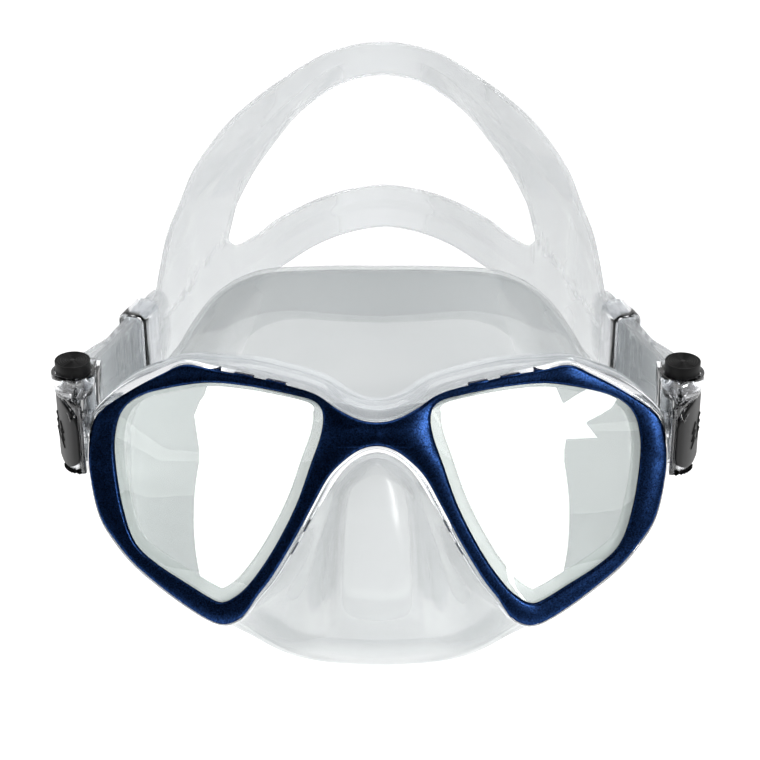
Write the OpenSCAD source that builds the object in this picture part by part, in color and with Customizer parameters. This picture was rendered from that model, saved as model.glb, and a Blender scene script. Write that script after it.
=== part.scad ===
// Two-lens diving mask with a clear silicone skirt and a split headband.
// +X is to the wearer's left as seen from in front, +Y runs back into the face, +Z is up.
// The origin is the centre of the face opening, level with the middle of the lenses.

/* [Front] */
// Y of the bezel's front face at the bridge
front_y = -62; // [-66:1:-58]
// Sweep of each lens plane towards the temple, in degrees
wrap = 6; // [4:0.5:8]
// Thickness of the bezel plate
bezel_t = 2.6; // [2.2:0.1:3]
// Thickness of each tempered lens
lens_t = 3.4; // [3:0.1:3.6]
// How far each lens reaches under the bezel
lens_overlap = 1.3; // [1.1:0.1:1.4]
// Depth at which the clear frame's web ends
web_depth = 8; // [7.5:0.1:8.1]
// Depth at which the clear frame's brow rim ends
rim_depth = 17; // [14:1:18]

/* [Skirt] */
// Wall thickness of the silicone skirt
skirt_t = 1.8; // [1.4:0.1:2]
// Width of the inward sealing flange
flange_w = 8; // [6:1:9]

/* [Harness] */
// Rise of the buckles and strap above the horizontal, in degrees
harness_tilt = 22; // [18:1:26]
// Depth of the swivel axis behind the bezel's front face
swivel_depth = 21; // [20:0.5:22]
// Height of the swivel axis
swivel_z = 16.5; // [15:0.5:18]
// Thickness of the strap
strap_t = 1.8; // [1.6:0.1:1.8]
// Half the width of the toothed strap ends
strap_half_w = 12; // [11:0.5:12]
// Pitch of the strap's teeth
tooth_pitch = 5; // [4:0.5:6]

/* [Buckle] */
// Distance of the roller behind the swivel axis
roller_b = 8; // [8:0.1:8.4]
// Radius of the roller that the strap turns round
roller_r = 1.8; // [1.6:0.1:1.8]
// Radius of the push button's cap
button_r = 4.93; // [4.91:0.01:4.97]
// Radius of the button's bore in the collar
collar_bore_r = 5; // [5:0.01:5]
// Radius of the swivel pins
swivel_r = 1.8; // [1.6:0.1:1.9]
// How far a push button travels
button_travel = 2.5; // [1.5:0.1:2.5]

/* [Hidden] */
$fn = 48;
swivel_y = front_y + swivel_depth;
lens_front = bezel_t + 0.1;
web_front = bezel_t + 0.1;
roller_x = 84.8;
button_x = 84.6;
button_b = -4.5;
pawl_x = 86.8;
pawl_b = 1.2;
running = 0.05;
gap = 0.2;
edge_inset = 1.1;
bead_depth = web_depth + 2.4;
lip_w = 2.4;
shell_half_w = 15;
pin_half_w = 14;
roller_pin_r = 0.8;
pawl_pin_r = 0.6;
tab_t = 0.8;
tooth_h = 0.7;
tooth_inset = 1.5;
tip_length = 8;
curve_steps = 4;

// The visible edge of one lens, as (x, z) points
lens_edge = [[15.2, 21.8], [17.5, 25.2], [24, 27.1], [36, 29.2], [47.5, 30], [59.2, 28.2],
    [67, 25.8], [71.8, 21.6], [73.8, 15], [73.8, 7], [72, -5.2], [68.6, -15.4],
    [62.5, -21.4], [53.4, -27.2], [47.8, -30.6], [44.2, -32], [40.6, -30.6], [36, -26.4],
    [29.5, -17], [23, -4.4], [18.6, 7.8], [15.8, 15.8]];

// The bezel's outer edge, from the nose arch round the temple to the top of the bridge
bezel_edge = [[0, 13], [4.5, 12], [9, 9], [13.7, 4], [18.5, -4.7], [24, -15], [29.7, -24.5],
    [34, -30.2], [37, -34.8], [40.2, -37.4], [44.3, -38.2], [49.7, -36], [58.6, -30],
    [68.2, -22.2], [74.3, -15], [78.3, -8.4], [80.6, 0.8], [81.4, 9], [80.3, 17.5],
    [77.2, 22.2], [68.8, 27.8], [60.5, 32.2], [53.8, 35], [46.3, 33.8], [36, 32],
    [26, 29.8], [17.4, 27.3], [11.2, 23.3], [5.4, 20.5], [0, 19.6]];

// The brow rim's outer edge, from the temple to the bridge, and its inner edge back again
brow_outer = [[80.2, 3], [79.9, 15], [77.4, 25.8], [71, 32], [61.6, 35.8], [53.4, 37.4],
    [40, 36.7], [27, 34], [18, 31.3], [11, 28], [5, 25.8], [0, 25.2]];
brow_inner = [[0, 22.9], [8, 24.2], [17, 27.6], [36, 32.4], [54, 34.8], [66, 31],
    [73, 25.6], [77.4, 15], [78, 3]];

// The skirt's wall, as columns of (x, z, depth) points: nose, cheek, temple, brow.
// The first columns are shaped row by row, because they bulge forward over the nose.
nose_columns = [
    [[0, 10.5, 8.4], [0, 8.5, 4], [0, 2, 0.6], [0, -12, -0.6], [0, -30, 0.6], [0, -42, 7],
        [0, -50, 20], [0, -56, 35]],
    [[7, 7.6, 8.4], [7.5, 4.5, 4.4], [8.5, 0, 1.8], [9.5, -13, 0.6], [10.4, -30, 1.8],
        [10.8, -42, 8.5], [10.8, -50, 21], [10.4, -56, 36]],
    [[12.6, 0.8, 8.6], [12.8, -2.5, 7.2], [13.2, -7, 6.6], [14, -16, 6.8], [15.2, -31, 9],
        [16.2, -43, 15], [18, -50, 25], [19.4, -55.5, 38]],
    [[20.6, -13.5, 8.8], [19.6, -15.5, 11], [18.9, -18.5, 14], [19.2, -24, 17],
        [20.8, -34, 20.5], [23, -43, 25], [26, -50, 32], [28, -55, 41]],
    [[31, -28.6, 8.6], [30, -29.6, 13], [29.4, -31.5, 18], [30, -35, 22.5], [31.2, -40, 27],
        [33, -45, 32], [35.5, -49, 38], [37, -52, 44]],
    [[43.4, -36.4, 8.6], [43, -37.2, 13], [43, -38.5, 18], [43.6, -40.2, 23],
        [44.8, -42.2, 29], [46, -44, 35], [47, -45.8, 41], [47.6, -47, 47]]];
side_fronts = [[59, -29], [72, -15], [75.4, 4], [71.2, 22.8], [54, 33], [36, 30.6],
    [17, 25.8], [0, 21.2]];

// The face side of the skirt, as (x, y, z) points in the same order as the columns
face_edge = [[0, -12, -61], [10, -12, -60.6], [20, -11, -59.8], [29, -9, -57.6],
    [38, -6, -53.4], [47, -2, -47.6], [57.6, 3, -36], [64.4, 7, -17], [66, 8, 5],
    [63, 6, 28], [51, -3, 48.4], [37, -9, 57.6], [18, -11, 59.4], [0, -11, 59.5]];
wall_rows = 8;

// The strap in the harness frame: x out to the side, then distance back, then height
run_start = [77.4, 28];
run_angle = 18;
run_length = 34;
tail_gap = strap_t + 0.3;
tail_length = 39;
keeper_at = 14;
keeper_length = 11;
crown_top = [[67.4, 58.6, 12], [65.6, 63.4, 20], [63.8, 68, 27.4], [60.4, 76, 35],
    [57.6, 84.1, 40.5], [53, 95, 44.8], [46.7, 107.7, 48.8], [39.4, 119.9, 51.5],
    [32.9, 128.5, 53.6], [18.8, 139.8, 58.8], [8, 143.6, 60.6], [0, 144.2, 61]];
crown_low = [[67.4, 58.6, 0], [65.2, 63.4, 0], [63.2, 68, 0], [60, 76, 0.5],
    [57, 84.1, 1.5], [53, 95, 4], [48.4, 107.4, 13], [43.1, 116.4, 25.7],
    [37.8, 124.6, 31.2], [23.5, 139.8, 43.2], [9, 146.4, 48], [0, 147.8, 49]];
nape_top = [[67.4, 58.6, 1.5], [63.2, 68, 3], [59, 79, 5], [52.8, 96, 8.5],
    [47.8, 108.8, 5], [40.4, 125.1, 1.2], [31, 139.6, 2], [19, 153.4, 2], [8, 161, 1.7],
    [0, 163, 1.6]];
nape_low = [[67.4, 58.6, -12], [63.2, 68, -12.4], [59, 79, -13.2], [52.8, 96, -14.2],
    [47.4, 109.5, -15], [38.6, 128.6, -15.6], [30.6, 141.6, -15.3], [19, 154.6, -14.9],
    [8, 162.6, -14.7], [0, 165, -14.7]];
band_t_crown = strap_t - 0.15;
band_t_nape = strap_t - 0.3;

function unit(v) = v / norm(v);
function mix(a, b, t) = a + (b - a) * t;
function spline(a, b, c, d, t) = 0.5 * (2 * b + (c - a) * t + (2 * a - 5 * b + 4 * c - d) * t * t
    + (3 * b - a - 3 * c + d) * t * t * t);
function flip(p) = len(p) == 2 ? [-p[0], p[1]] : [-p[0], p[1], p[2]];
function reversed(list) = [for (i = [len(list) - 1:-1:0]) list[i]];
function closed_curve(p, n) = let (m = len(p))
    [for (i = [0:m - 1], k = [0:n - 1])
        spline(p[(i + m - 1) % m], p[i], p[(i + 1) % m], p[(i + 2) % m], k / n)];
function open_curve(p, n, before, after) = let (m = len(p))
    concat([for (i = [0:m - 2], k = [0:n - 1])
        spline(i == 0 ? before : p[i - 1], p[i], p[i + 1], i == m - 2 ? after : p[i + 2], k / n)],
        [p[m - 1]]);
function plain_curve(p, n) = open_curve(p, n, p[0], p[len(p) - 1]);
// A half outline whose two ends lie on the mid-plane and meet their mirror image smoothly
function half_curve(p, n) = open_curve(p, n, flip(p[1]), flip(p[len(p) - 2]));
// A closed outline moved outwards by d; the outline runs clockwise when d is positive
function grow(p, d) = let (m = len(p))
    [for (i = [0:m - 1]) let (t = unit(p[(i + 1) % m] - p[(i + m - 1) % m])) p[i] + d * [-t[1], t[0]]];
function ribbon_side(p, d) = let (m = len(p))
    [for (i = [0:m - 1]) let (t = unit(p[min(i + 1, m - 1)] - p[max(i - 1, 0)])) p[i] + d * [-t[1], t[0]]];
function to_mid(p) = concat([[-1, p[0][1]]], p, [[-1, p[len(p) - 1][1]]]);

lens_curve = closed_curve(lens_edge, curve_steps);
bezel_curve = half_curve(bezel_edge, curve_steps);
frame_curve = ribbon_side(bezel_curve, -edge_inset);

// A plate of the front, between two depths, on the swept plane of the right-hand half
module slab(d0, d1) {
    translate([0, front_y, 0])
        rotate([0, 0, wrap])
            translate([0, d1, 0])
                rotate([90, 0, 0])
                    linear_extrude(d1 - d0)
                        children();
}

module right_half() {
    intersection() {
        children();
        translate([0, -100, -100])
            cube([150, 200, 200]);
    }
}

module both_sides() {
    right_half() children();
    mirror([1, 0, 0]) right_half() children();
}

module on_side(side) {
    if (side > 0) children();
    else mirror([1, 0, 0]) children();
}

// The harness frame: origin on the swivel axis, Y back along the strap, Z across its width
module harness() {
    translate([0, swivel_y, swivel_z])
        rotate([harness_tilt, 0, 0])
            children();
}

// The side and brow columns of the skirt run from the web to the face edge by a rule
function side_column(front, rear) = [for (k = [0:wall_rows - 1])
    let (t = k / wall_rows,
        x = mix(front[0], rear[0], pow(t, 1.5)),
        z = mix(front[1], rear[2], front[1] > 20 ? max(0, t - 0.25) / 0.75 : t),
        d = mix(web_depth + 0.6, rear[1] - front_y - rear[0] * tan(wrap), t))
    [x, z, d]];
function place(p) = [p[0], front_y + p[2] + p[0] * tan(wrap), p[1]];
skirt_columns = concat(nose_columns, [for (i = [0:len(side_fronts) - 1])
    side_column(side_fronts[i], face_edge[i + len(nose_columns)])]);
function inward(p) = unit([-p[0], 0, -p[2] - 1]);
function around(half) = concat(half, [for (i = [len(half) - 2:-1:1]) flip(half[i])]);
skirt_rows = concat(
    [for (k = [0:wall_rows - 1]) around([for (c = skirt_columns) place(c[k])])],
    [around(face_edge),
        around([for (p = face_edge) p + 0.35 * flange_w * inward(p) + [0, 0.6, 0]]),
        around([for (p = face_edge) p + flange_w * inward(p) - [0, 0.6, 0]])]);
skirt_outer = [for (row = skirt_rows) closed_curve(row, 3)];
skirt_inner = let (m = len(skirt_outer), n = len(skirt_outer[0]))
    [for (r = [0:m - 1]) [for (i = [0:n - 1])
        let (along = skirt_outer[min(r + 1, m - 1)][i] - skirt_outer[max(r - 1, 0)][i],
            across = skirt_outer[r][(i + 1) % n] - skirt_outer[r][(i + n - 1) % n],
            t = r == m - 1 ? 0.5 * skirt_t : skirt_t)
        skirt_outer[r][i] - t * unit(cross(along, across))]];
web_edge = concat([for (c = nose_columns) [c[0][0], c[0][1]]], side_fronts);
web_curve = [for (p = ribbon_side(half_curve(web_edge, curve_steps), 0.9))
    [(p[0] + (web_depth + 1.4) * sin(wrap)) / cos(wrap), p[1]]];
brow_curve = plain_curve(brow_outer, curve_steps);
brow_inner_curve = plain_curve(brow_inner, curve_steps);

// Snap tabs hold the bezel in the clear frame's windows: (x, z, angle, length)
snap_tabs = [[28.5, 30.2, 12, 5.6], [37.5, 32, 10, 5.6], [21.6, -9.4, -61, 4], [25.2, -15.8, -60, 4]];

module snap_blocks(extra, d0, d1) {
    for (tab = snap_tabs)
        slab(d0, d1)
            translate([tab[0], tab[1]])
                rotate(tab[2])
                    square([tab[3] + 2 * extra, tab_t + 2 * extra], center = true);
}

// A cylinder along X about the swivel axis
module swivel_cylinder(x0, x1, r) {
    translate([x0, 0, 0])
        rotate([0, 90, 0])
            cylinder(h = x1 - x0, r = r);
}

module bezel() {
    color("midnightblue")
        both_sides() {
            difference() {
                slab(0, bezel_t) polygon(to_mid(bezel_curve));
                slab(-1, bezel_t + 1) polygon(lens_curve);
            }
            snap_blocks(0, bezel_t - 0.5, 6.5);
        }
}

module inner_frame() {
    color("gainsboro", 0.5)
        difference() {
            both_sides() {
                difference() {
                    slab(web_front, web_depth) polygon(to_mid(frame_curve));
                    slab(web_front - 1, web_depth + 1) polygon(grow(lens_curve, lens_overlap + gap));
                    snap_blocks(gap, web_front - 1, web_depth + 1);
                }
                slab(web_depth - 0.5, rim_depth)
                    polygon(concat(brow_curve, [[-2, 25.2], [-2, 22.9]], brow_inner_curve));
            }
            for (side = [1, -1])
                on_side(side)
                    translate([0, swivel_y, swivel_z])
                        swivel_cylinder(70, 82, swivel_r);
        }
}

module lens() {
    color("lightcyan", 0.3)
        slab(lens_front, lens_front + lens_t) polygon(grow(lens_curve, lens_overlap));
}

// The pin is fixed in the clear frame's brow rim, and its head retains the buckle
module swivel_pin() {
    color("silver")
        translate([0, swivel_y, swivel_z]) {
            swivel_cylinder(76.6, 80.5, swivel_r);
            swivel_cylinder(80.1, 80.7, swivel_r + 0.8);
        }
}

// Silicone skirt: a closed ring of columns, from the web behind the lenses back to the face
module skirt() {
    n = len(skirt_outer[0]);
    rings = concat(skirt_outer, reversed(skirt_inner));
    m = len(rings);
    color("whitesmoke", 0.5) {
        polyhedron(points = [for (ring = rings, p = ring) p],
            faces = [for (r = [0:m - 1], i = [0:n - 1])
                [r * n + i, r * n + (i + 1) % n, ((r + 1) % m) * n + (i + 1) % n, ((r + 1) % m) * n + i]]);
        both_sides() {
            difference() {
                slab(web_depth + 0.4, bead_depth) polygon(to_mid(web_curve));
                slab(0, 20) polygon(grow(lens_curve, -lip_w));
            }
            difference() {
                slab(lens_front + lens_t + 0.1, bead_depth) polygon(grow(lens_curve, lens_overlap));
                slab(0, 20) polygon(grow(lens_curve, -lip_w));
            }
        }
    }
}

// One band of the strap, swept between its two edges with rounded margins
module band(edge_a, edge_b, t) {
    m = len(edge_a);
    round_in = 0.7;
    sections = [for (i = [0:m - 1])
        let (a = edge_a[i], b = edge_b[i],
            u = unit(a - b),
            along = (edge_a[min(i + 1, m - 1)] + edge_b[min(i + 1, m - 1)])
                - (edge_a[max(i - 1, 0)] + edge_b[max(i - 1, 0)]),
            h = unit(cross(u, along)) * t / 2)
        [a + 0.5 * h, a - 0.5 * h, a - round_in * u - h, b + round_in * u - h,
            b - 0.5 * h, b + 0.5 * h, b + round_in * u + h, a - round_in * u + h]];
    polyhedron(points = [for (s = sections, p = s) p],
        faces = concat(
            [for (i = [0:m - 2], k = [0:7])
                [i * 8 + k, (i + 1) * 8 + k, (i + 1) * 8 + (k + 1) % 8, i * 8 + (k + 1) % 8]],
            [for (k = [1:6]) [0, k, k + 1]],
            [for (k = [1:6]) [(m - 1) * 8, (m - 1) * 8 + k + 1, (m - 1) * 8 + k]]));
}

// A half edge and its mirror image, joined across the mid-plane
function full_edge(p) = let (half = open_curve(p, 5, p[0], flip(p[len(p) - 2])), k = len(half))
    concat(half, [for (i = [k - 2:-1:0]) flip(half[i])]);

// The straight stretch of strap between buckle and headband, which the keeper slides along
module on_run() {
    translate([run_start[0], run_start[1], 0])
        rotate([0, 0, run_angle])
            children();
}

module strap_end() {
    wrap_r = roller_r + 0.1;
    main_x = roller_x - wrap_r - strap_t / 2;
    tail_x = roller_x + wrap_r + strap_t / 2;
    main = plain_curve([[main_x, roller_b - 0.5], [main_x, 13], [80.6, 20], run_start,
        run_start + 1 * [-sin(run_angle), cos(run_angle)]], 4);
    tail_start = run_start + tail_gap * [cos(run_angle), sin(run_angle)];
    tail = plain_curve([[tail_x, roller_b - 0.5], [tail_x, 12], [85.8, 18], [82.8, 23.4], tail_start,
        tail_start + 1 * [-sin(run_angle), cos(run_angle)]], 4);
    translate([0, 0, -strap_half_w])
        linear_extrude(2 * strap_half_w) {
            polygon(concat(ribbon_side(main, strap_t / 2), reversed(ribbon_side(main, -strap_t / 2))));
            polygon(concat(ribbon_side(tail, strap_t / 2), reversed(ribbon_side(tail, -strap_t / 2))));
        }
    difference() {
        translate([roller_x, roller_b, -strap_half_w])
            cylinder(h = 2 * strap_half_w, r = wrap_r + strap_t);
        translate([roller_x, roller_b, -20])
            cylinder(h = 40, r = wrap_r);
        translate([roller_x - 10, roller_b, -20])
            cube([20, 20, 40]);
    }
    on_run() {
        translate([-strap_t / 2, 0, -strap_half_w])
            cube([strap_t, run_length, 2 * strap_half_w]);
        for (i = [0:5])
            translate([-strap_t / 2 - tooth_h, 2 + i * tooth_pitch, -strap_half_w + tooth_inset])
                cube([1, tooth_pitch / 2, 2 * (strap_half_w - tooth_inset)]);
        translate([tail_gap - strap_t / 2, 0, -strap_half_w])
            cube([strap_t, tail_length - tip_length, 2 * strap_half_w]);
        translate([tail_gap - strap_t / 2, tail_length - tip_length, 0])
            rotate([0, 90, 0])
                intersection() {
                    translate([-strap_half_w, 0, 0])
                        cube([2 * strap_half_w, tip_length, strap_t]);
                    translate([0, -4, 0])
                        cylinder(h = strap_t, r = 12.6);
                }
        for (i = [0:5])
            translate([tail_gap + strap_t / 2 + tooth_h - 1, 2 + i * tooth_pitch, -strap_half_w + tooth_inset])
                cube([1, tooth_pitch / 2, 2 * (strap_half_w - tooth_inset)]);
    }
}

module strap() {
    color("whitesmoke", 0.5)
        harness() {
            for (side = [1, -1])
                on_side(side) strap_end();
            band(full_edge(crown_top), full_edge(crown_low), band_t_crown);
            band(full_edge(nape_top), full_edge(nape_low), band_t_nape);
        }
}

// Clear buckle: a body round the roller, a boss on the swivel axis, and a collar for the button
module buckle() {
    shell = [[79.6, 15], [79.6, 4], [82.4, 2.5], [82.4, -10], [83.6, -12.5], [85.5, -12.5],
        [91.6, 8], [91.2, 15]];
    hollow = [[80.5, 16], [80.5, 5], [83.5, 2.2], [83.5, -9.6], [84.8, -9.6], [90.1, 8.2], [89.8, 16]];
    // The slanted lower front corner, as (distance back, height) points
    corner_cut = [[-16, -7], [-13.5, -8], [2, -15.1], [2, -17], [-16, -17]];
    color("gainsboro", 0.5)
        harness()
            difference() {
                union() {
                    translate([0, 0, -shell_half_w])
                        linear_extrude(2 * shell_half_w)
                            polygon(shell);
                    swivel_cylinder(79.6, 83, 4.1);
                    translate([button_x, button_b, 13])
                        cylinder(h = 7, r = 6.2);
                }
                translate([0, 0, -12.5])
                    linear_extrude(25)
                        polygon(hollow);
                swivel_cylinder(79, 81, swivel_r + running);
                swivel_cylinder(80.05, 81.2, swivel_r + 0.9);
                translate([80.9, -2.7, -2.7])
                    cube([3, 8, 5.4]);
                translate([button_x, button_b, 15.5])
                    cylinder(h = 5, r = collar_bore_r);
                translate([button_x, button_b, 12])
                    cylinder(h = 4, r = 1);
                translate([roller_x, roller_b, -pin_half_w])
                    cylinder(h = 2 * pin_half_w, r = roller_pin_r);
                translate([pawl_x, pawl_b, -pin_half_w])
                    cylinder(h = 2 * pin_half_w, r = pawl_pin_r);
                cover_face()
                    translate([0, 0, -1])
                        linear_extrude(2)
                            offset_cover(0.15);
                translate([roller_x - 10, 0, 0])
                    rotate([90, 0, 90])
                        linear_extrude(20)
                            polygon(corner_cut);
            }
}

// The plane of the buckle's outer face: X towards the back along it, Y across the strap, Z outwards
module cover_face() {
    translate([85.5, -12.5, 0])
        rotate([0, 0, atan2(20.5, 6.1)])
            rotate([90, 0, 0])
                children();
}

module offset_cover(extra) {
    polygon(grow(closed_curve([[18.6, 11.4], [12, 11.6], [5, 11], [2.2, 8.4], [1.7, 0], [2.4, -5.6],
        [5, -8.4], [11, -10.6], [17, -11.6], [20.2, -8], [20.6, 0], [20.6, 8]], 4), -extra));
}

module side_cover() {
    color("black")
        harness()
            cover_face()
                translate([0, 0, -1])
                    linear_extrude(1.5)
                        offset_cover(0);
}

module roller_pin() {
    color("silver")
        harness()
            translate([roller_x, roller_b, -pin_half_w])
                cylinder(h = 2 * pin_half_w, r = roller_pin_r);
}

module roller() {
    color("silver")
        harness()
            translate([roller_x, roller_b, -12.2])
                difference() {
                    cylinder(h = 24.4, r = roller_r);
                    translate([0, 0, -1])
                        cylinder(h = 27, r = roller_pin_r + running);
                }
}

module pawl_pin() {
    color("silver")
        harness()
            translate([pawl_x, pawl_b, -pin_half_w])
                cylinder(h = 2 * pin_half_w, r = pawl_pin_r);
}

module pawl() {
    arm = [[86, 0.2], [85, 1.6], [83.8, 3.2], [83.6, 3.95], [84.6, 3.9], [86, 2.6], [87.2, 2.1]];
    release_arm = [[86.3, 0.6], [85, -2.4], [85.6, -2.6], [87.1, 0.4]];
    color("dimgray")
        harness()
            difference() {
                union() {
                    translate([pawl_x, pawl_b, -11])
                        cylinder(h = 22, r = 1.05);
                    translate([0, 0, -10])
                        linear_extrude(20)
                            polygon(arm);
                    translate([0, 0, -10])
                        linear_extrude(9)
                            polygon(release_arm);
                }
                translate([pawl_x, pawl_b, -12])
                    cylinder(h = 24, r = pawl_pin_r + running);
            }
}

// Push button: a cap with concentric grip rings, on a stem that ends in a wedge-shaped cone
module push_button() {
    cap_low = 19;
    cap_h = 4.2;
    color("black")
        harness()
            translate([button_x, button_b, 0])
                difference() {
                    union() {
                        translate([0, 0, cap_low])
                            cylinder(h = cap_h, r = button_r);
                        translate([0, 0, 4])
                            cylinder(h = cap_low - 3, r = 0.95);
                        translate([0, 0, 2])
                            cylinder(h = 2, r1 = 0.4, r2 = 0.95);
                    }
                    for (r = [1.1:1.1:4])
                        translate([0, 0, cap_low + cap_h - 0.4])
                            difference() {
                                cylinder(h = 1, r = r + 0.55);
                                translate([0, 0, -1])
                                    cylinder(h = 3, r = r);
                            }
                }
}

// Return spring between the collar's floor and the button's cap
module button_spring() {
    turns = 3;
    per_turn = 16;
    coil_r = 3;
    wire_r = 0.25;
    low = 15.85;
    rise = button_travel + 0.3;
    n = turns * per_turn;
    points = [for (i = [0:n], k = [0:5])
        let (a = 360 * i / per_turn, r = coil_r + wire_r * cos(60 * k))
            [r * cos(a), r * sin(a), low + rise * i / n + wire_r * sin(60 * k)]];
    color("silver")
        harness()
            translate([button_x, button_b, 0])
                polyhedron(points = points, faces = concat(
                    [for (i = [0:n - 1], k = [0:5])
                        [i * 6 + k, (i + 1) * 6 + k, (i + 1) * 6 + (k + 1) % 6, i * 6 + (k + 1) % 6]],
                    [[for (k = [0:5]) k], [for (k = [5:-1:0]) n * 6 + k]]));
}

// A rectangle about the run's line with round corners, from x = low to x = high
module round_plate(low, high, half_w, r) {
    polygon([for (c = [[high - r, half_w - r, 0], [low + r, half_w - r, 90],
            [low + r, r - half_w, 180], [high - r, r - half_w, 270]], a = [0:15:90])
        [c[0] + r * cos(c[2] + a), c[1] + r * sin(c[2] + a)]]);
}

// Clear sleeve round the strap and its tail
module strap_keeper() {
    in_low = -strap_t / 2 - 1;
    in_high = tail_gap + strap_t / 2 + 1;
    in_half = strap_half_w + 0.3;
    in_round = 1.2;
    wall = 1.4;
    out_round = 3;
    color("gainsboro", 0.5)
        harness()
            on_run()
                translate([0, keeper_at + keeper_length, 0])
                    rotate([90, 0, 0])
                        linear_extrude(keeper_length)
                            difference() {
                                round_plate(in_low - wall, in_high + wall, in_half + wall, out_round);
                                round_plate(in_low, in_high, in_half, in_round);
                            }
}

bezel();
inner_frame();
on_side(-1) lens();  // lens_left
on_side(1) lens();  // lens_right
skirt();
on_side(-1) swivel_pin();  // swivel_pin_left
on_side(1) swivel_pin();  // swivel_pin_right
strap();
on_side(-1) buckle();  // buckle_left
on_side(1) buckle();  // buckle_right
on_side(-1) side_cover();  // side_cover_left
on_side(1) side_cover();  // side_cover_right
on_side(-1) roller_pin();  // roller_pin_left
on_side(1) roller_pin();  // roller_pin_right
on_side(-1) pawl_pin();  // pawl_pin_left
on_side(1) pawl_pin();  // pawl_pin_right
on_side(-1) push_button();  // push_button_left
on_side(1) push_button();  // push_button_right
on_side(-1) button_spring();  // button_spring_left
on_side(1) button_spring();  // button_spring_right
on_side(-1) pawl();  // pawl_left
on_side(1) pawl();  // pawl_right
on_side(-1) roller();  // roller_left
on_side(1) roller();  // roller_right
on_side(-1) strap_keeper();  // strap_keeper_left
on_side(1) strap_keeper();  // strap_keeper_right
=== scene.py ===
# %% [markdown]
# # A two-lens diving mask, piece by piece
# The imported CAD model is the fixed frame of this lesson: it says where every part sits and
# how it moves. Here each part gets the shape and the finish that the eye expects.
# Lengths are written in millimetres, because moulds are drawn in millimetres, and MM turns
# them into Blender's metres.

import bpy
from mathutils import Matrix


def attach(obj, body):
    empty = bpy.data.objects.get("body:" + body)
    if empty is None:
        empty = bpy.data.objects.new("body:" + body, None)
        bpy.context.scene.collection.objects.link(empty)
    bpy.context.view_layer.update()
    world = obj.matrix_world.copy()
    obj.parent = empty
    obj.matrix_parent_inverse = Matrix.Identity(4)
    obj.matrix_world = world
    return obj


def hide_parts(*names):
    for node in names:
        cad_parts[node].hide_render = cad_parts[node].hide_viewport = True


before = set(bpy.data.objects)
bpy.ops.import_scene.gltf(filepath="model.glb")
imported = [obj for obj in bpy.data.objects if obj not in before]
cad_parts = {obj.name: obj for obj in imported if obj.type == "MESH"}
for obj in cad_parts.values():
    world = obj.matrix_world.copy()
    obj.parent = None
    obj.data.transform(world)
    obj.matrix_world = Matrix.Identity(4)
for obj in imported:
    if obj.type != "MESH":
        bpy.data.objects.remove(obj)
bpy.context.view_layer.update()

import math

import bpy
import numpy as np

MM = 0.001

# %% [markdown]
# ## The camera
# A product picture of a mask is taken almost level, a little from above, with a long lens
# from about 60 cm. The angle below matches where the rear of the strap appears above the
# brow. The view turns three degrees up from the mask, so that the whole headband fits.

# %% Camera
VIEW_FROM = (8.8 * MM, -652.9 * MM, 104.2 * MM)
VIEW_TILT = math.radians(90 - 6.99)
VIEW_TURN = 0.01333
LENS_LENGTH = 103.1

bpy.ops.object.camera_add(location=VIEW_FROM, rotation=(VIEW_TILT, 0, VIEW_TURN))
camera = bpy.context.object
camera.name = "product_camera"
camera.data.lens = LENS_LENGTH
camera.data.sensor_width = 36.0
camera.data.clip_start = 0.01
bpy.context.scene.camera = camera
bpy.context.scene.view_settings.view_transform = "Standard"
print("camera focal length", camera.data.lens, "mm")

# %% [markdown]
# ## Node and colour helpers
# Colours are picked on screen as sRGB hex values, while a shader adds up light, so one
# function turns hex into linear numbers. A second one adds a node with its settings, its
# values and its links, which keeps every material below short enough to read.


# %% Colour and node helpers
def linear(code):
    """An sRGB hex colour as the linear numbers a shader wants, fully opaque."""
    parts = [int(code[i:i + 2], 16) / 255 for i in (0, 2, 4)]
    return [c / 12.92 if c <= 0.04045 else ((c + 0.055) / 1.055) ** 2.4 for c in parts] + [1.0]


def put(tree, kind, values=None, links=None, **settings):
    """Adds one node to a tree, sets its properties and sockets, and links its inputs."""
    made = tree.nodes.new(kind)
    for key, value in settings.items():
        setattr(made, key, value)
    for key, value in (values or {}).items():
        made.inputs[key].default_value = value
    for key, source in (links or {}).items():
        tree.links.new(source, made.inputs[key])
    return made


def new_material(name):
    """An empty material with the position every pattern reads; its output node comes later."""
    material = bpy.data.materials.new(name)
    material.use_nodes = True
    tree = material.node_tree
    tree.nodes.clear()
    place = put(tree, "ShaderNodeTexCoord").outputs["Object"]
    return material, tree, place


def finish_material(tree, shader):
    """Leads the shader to the material's output."""
    put(tree, "ShaderNodeOutputMaterial", links={"Surface": shader})


def clear_finish(tree, shader, tint, straight=0.0):
    """Lamps shine through clear stock, and a thin one lets a share pass straight through."""
    passing = put(tree, "ShaderNodeBsdfTransparent", {"Color": tint}).outputs[0]
    rays = put(tree, "ShaderNodeLightPath").outputs["Is Shadow Ray"]
    amount = put(tree, "ShaderNodeMath", {1: straight}, {0: rays}, operation="MAXIMUM")
    both = put(tree, "ShaderNodeMixShader", links={0: amount.outputs[0], 1: shader, 2: passing})
    finish_material(tree, both.outputs[0])


print("helpers ready")

# %% [markdown]
# ## Floor, surround and lamps
# Clear plastic is only seen by what it bends: a bright ground behind it and a dark room in
# front of it draw its edges. So the floor is near white, the surround is bright behind the
# mask and dark behind the camera, and tall soft lamps stand at the sides.

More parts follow.
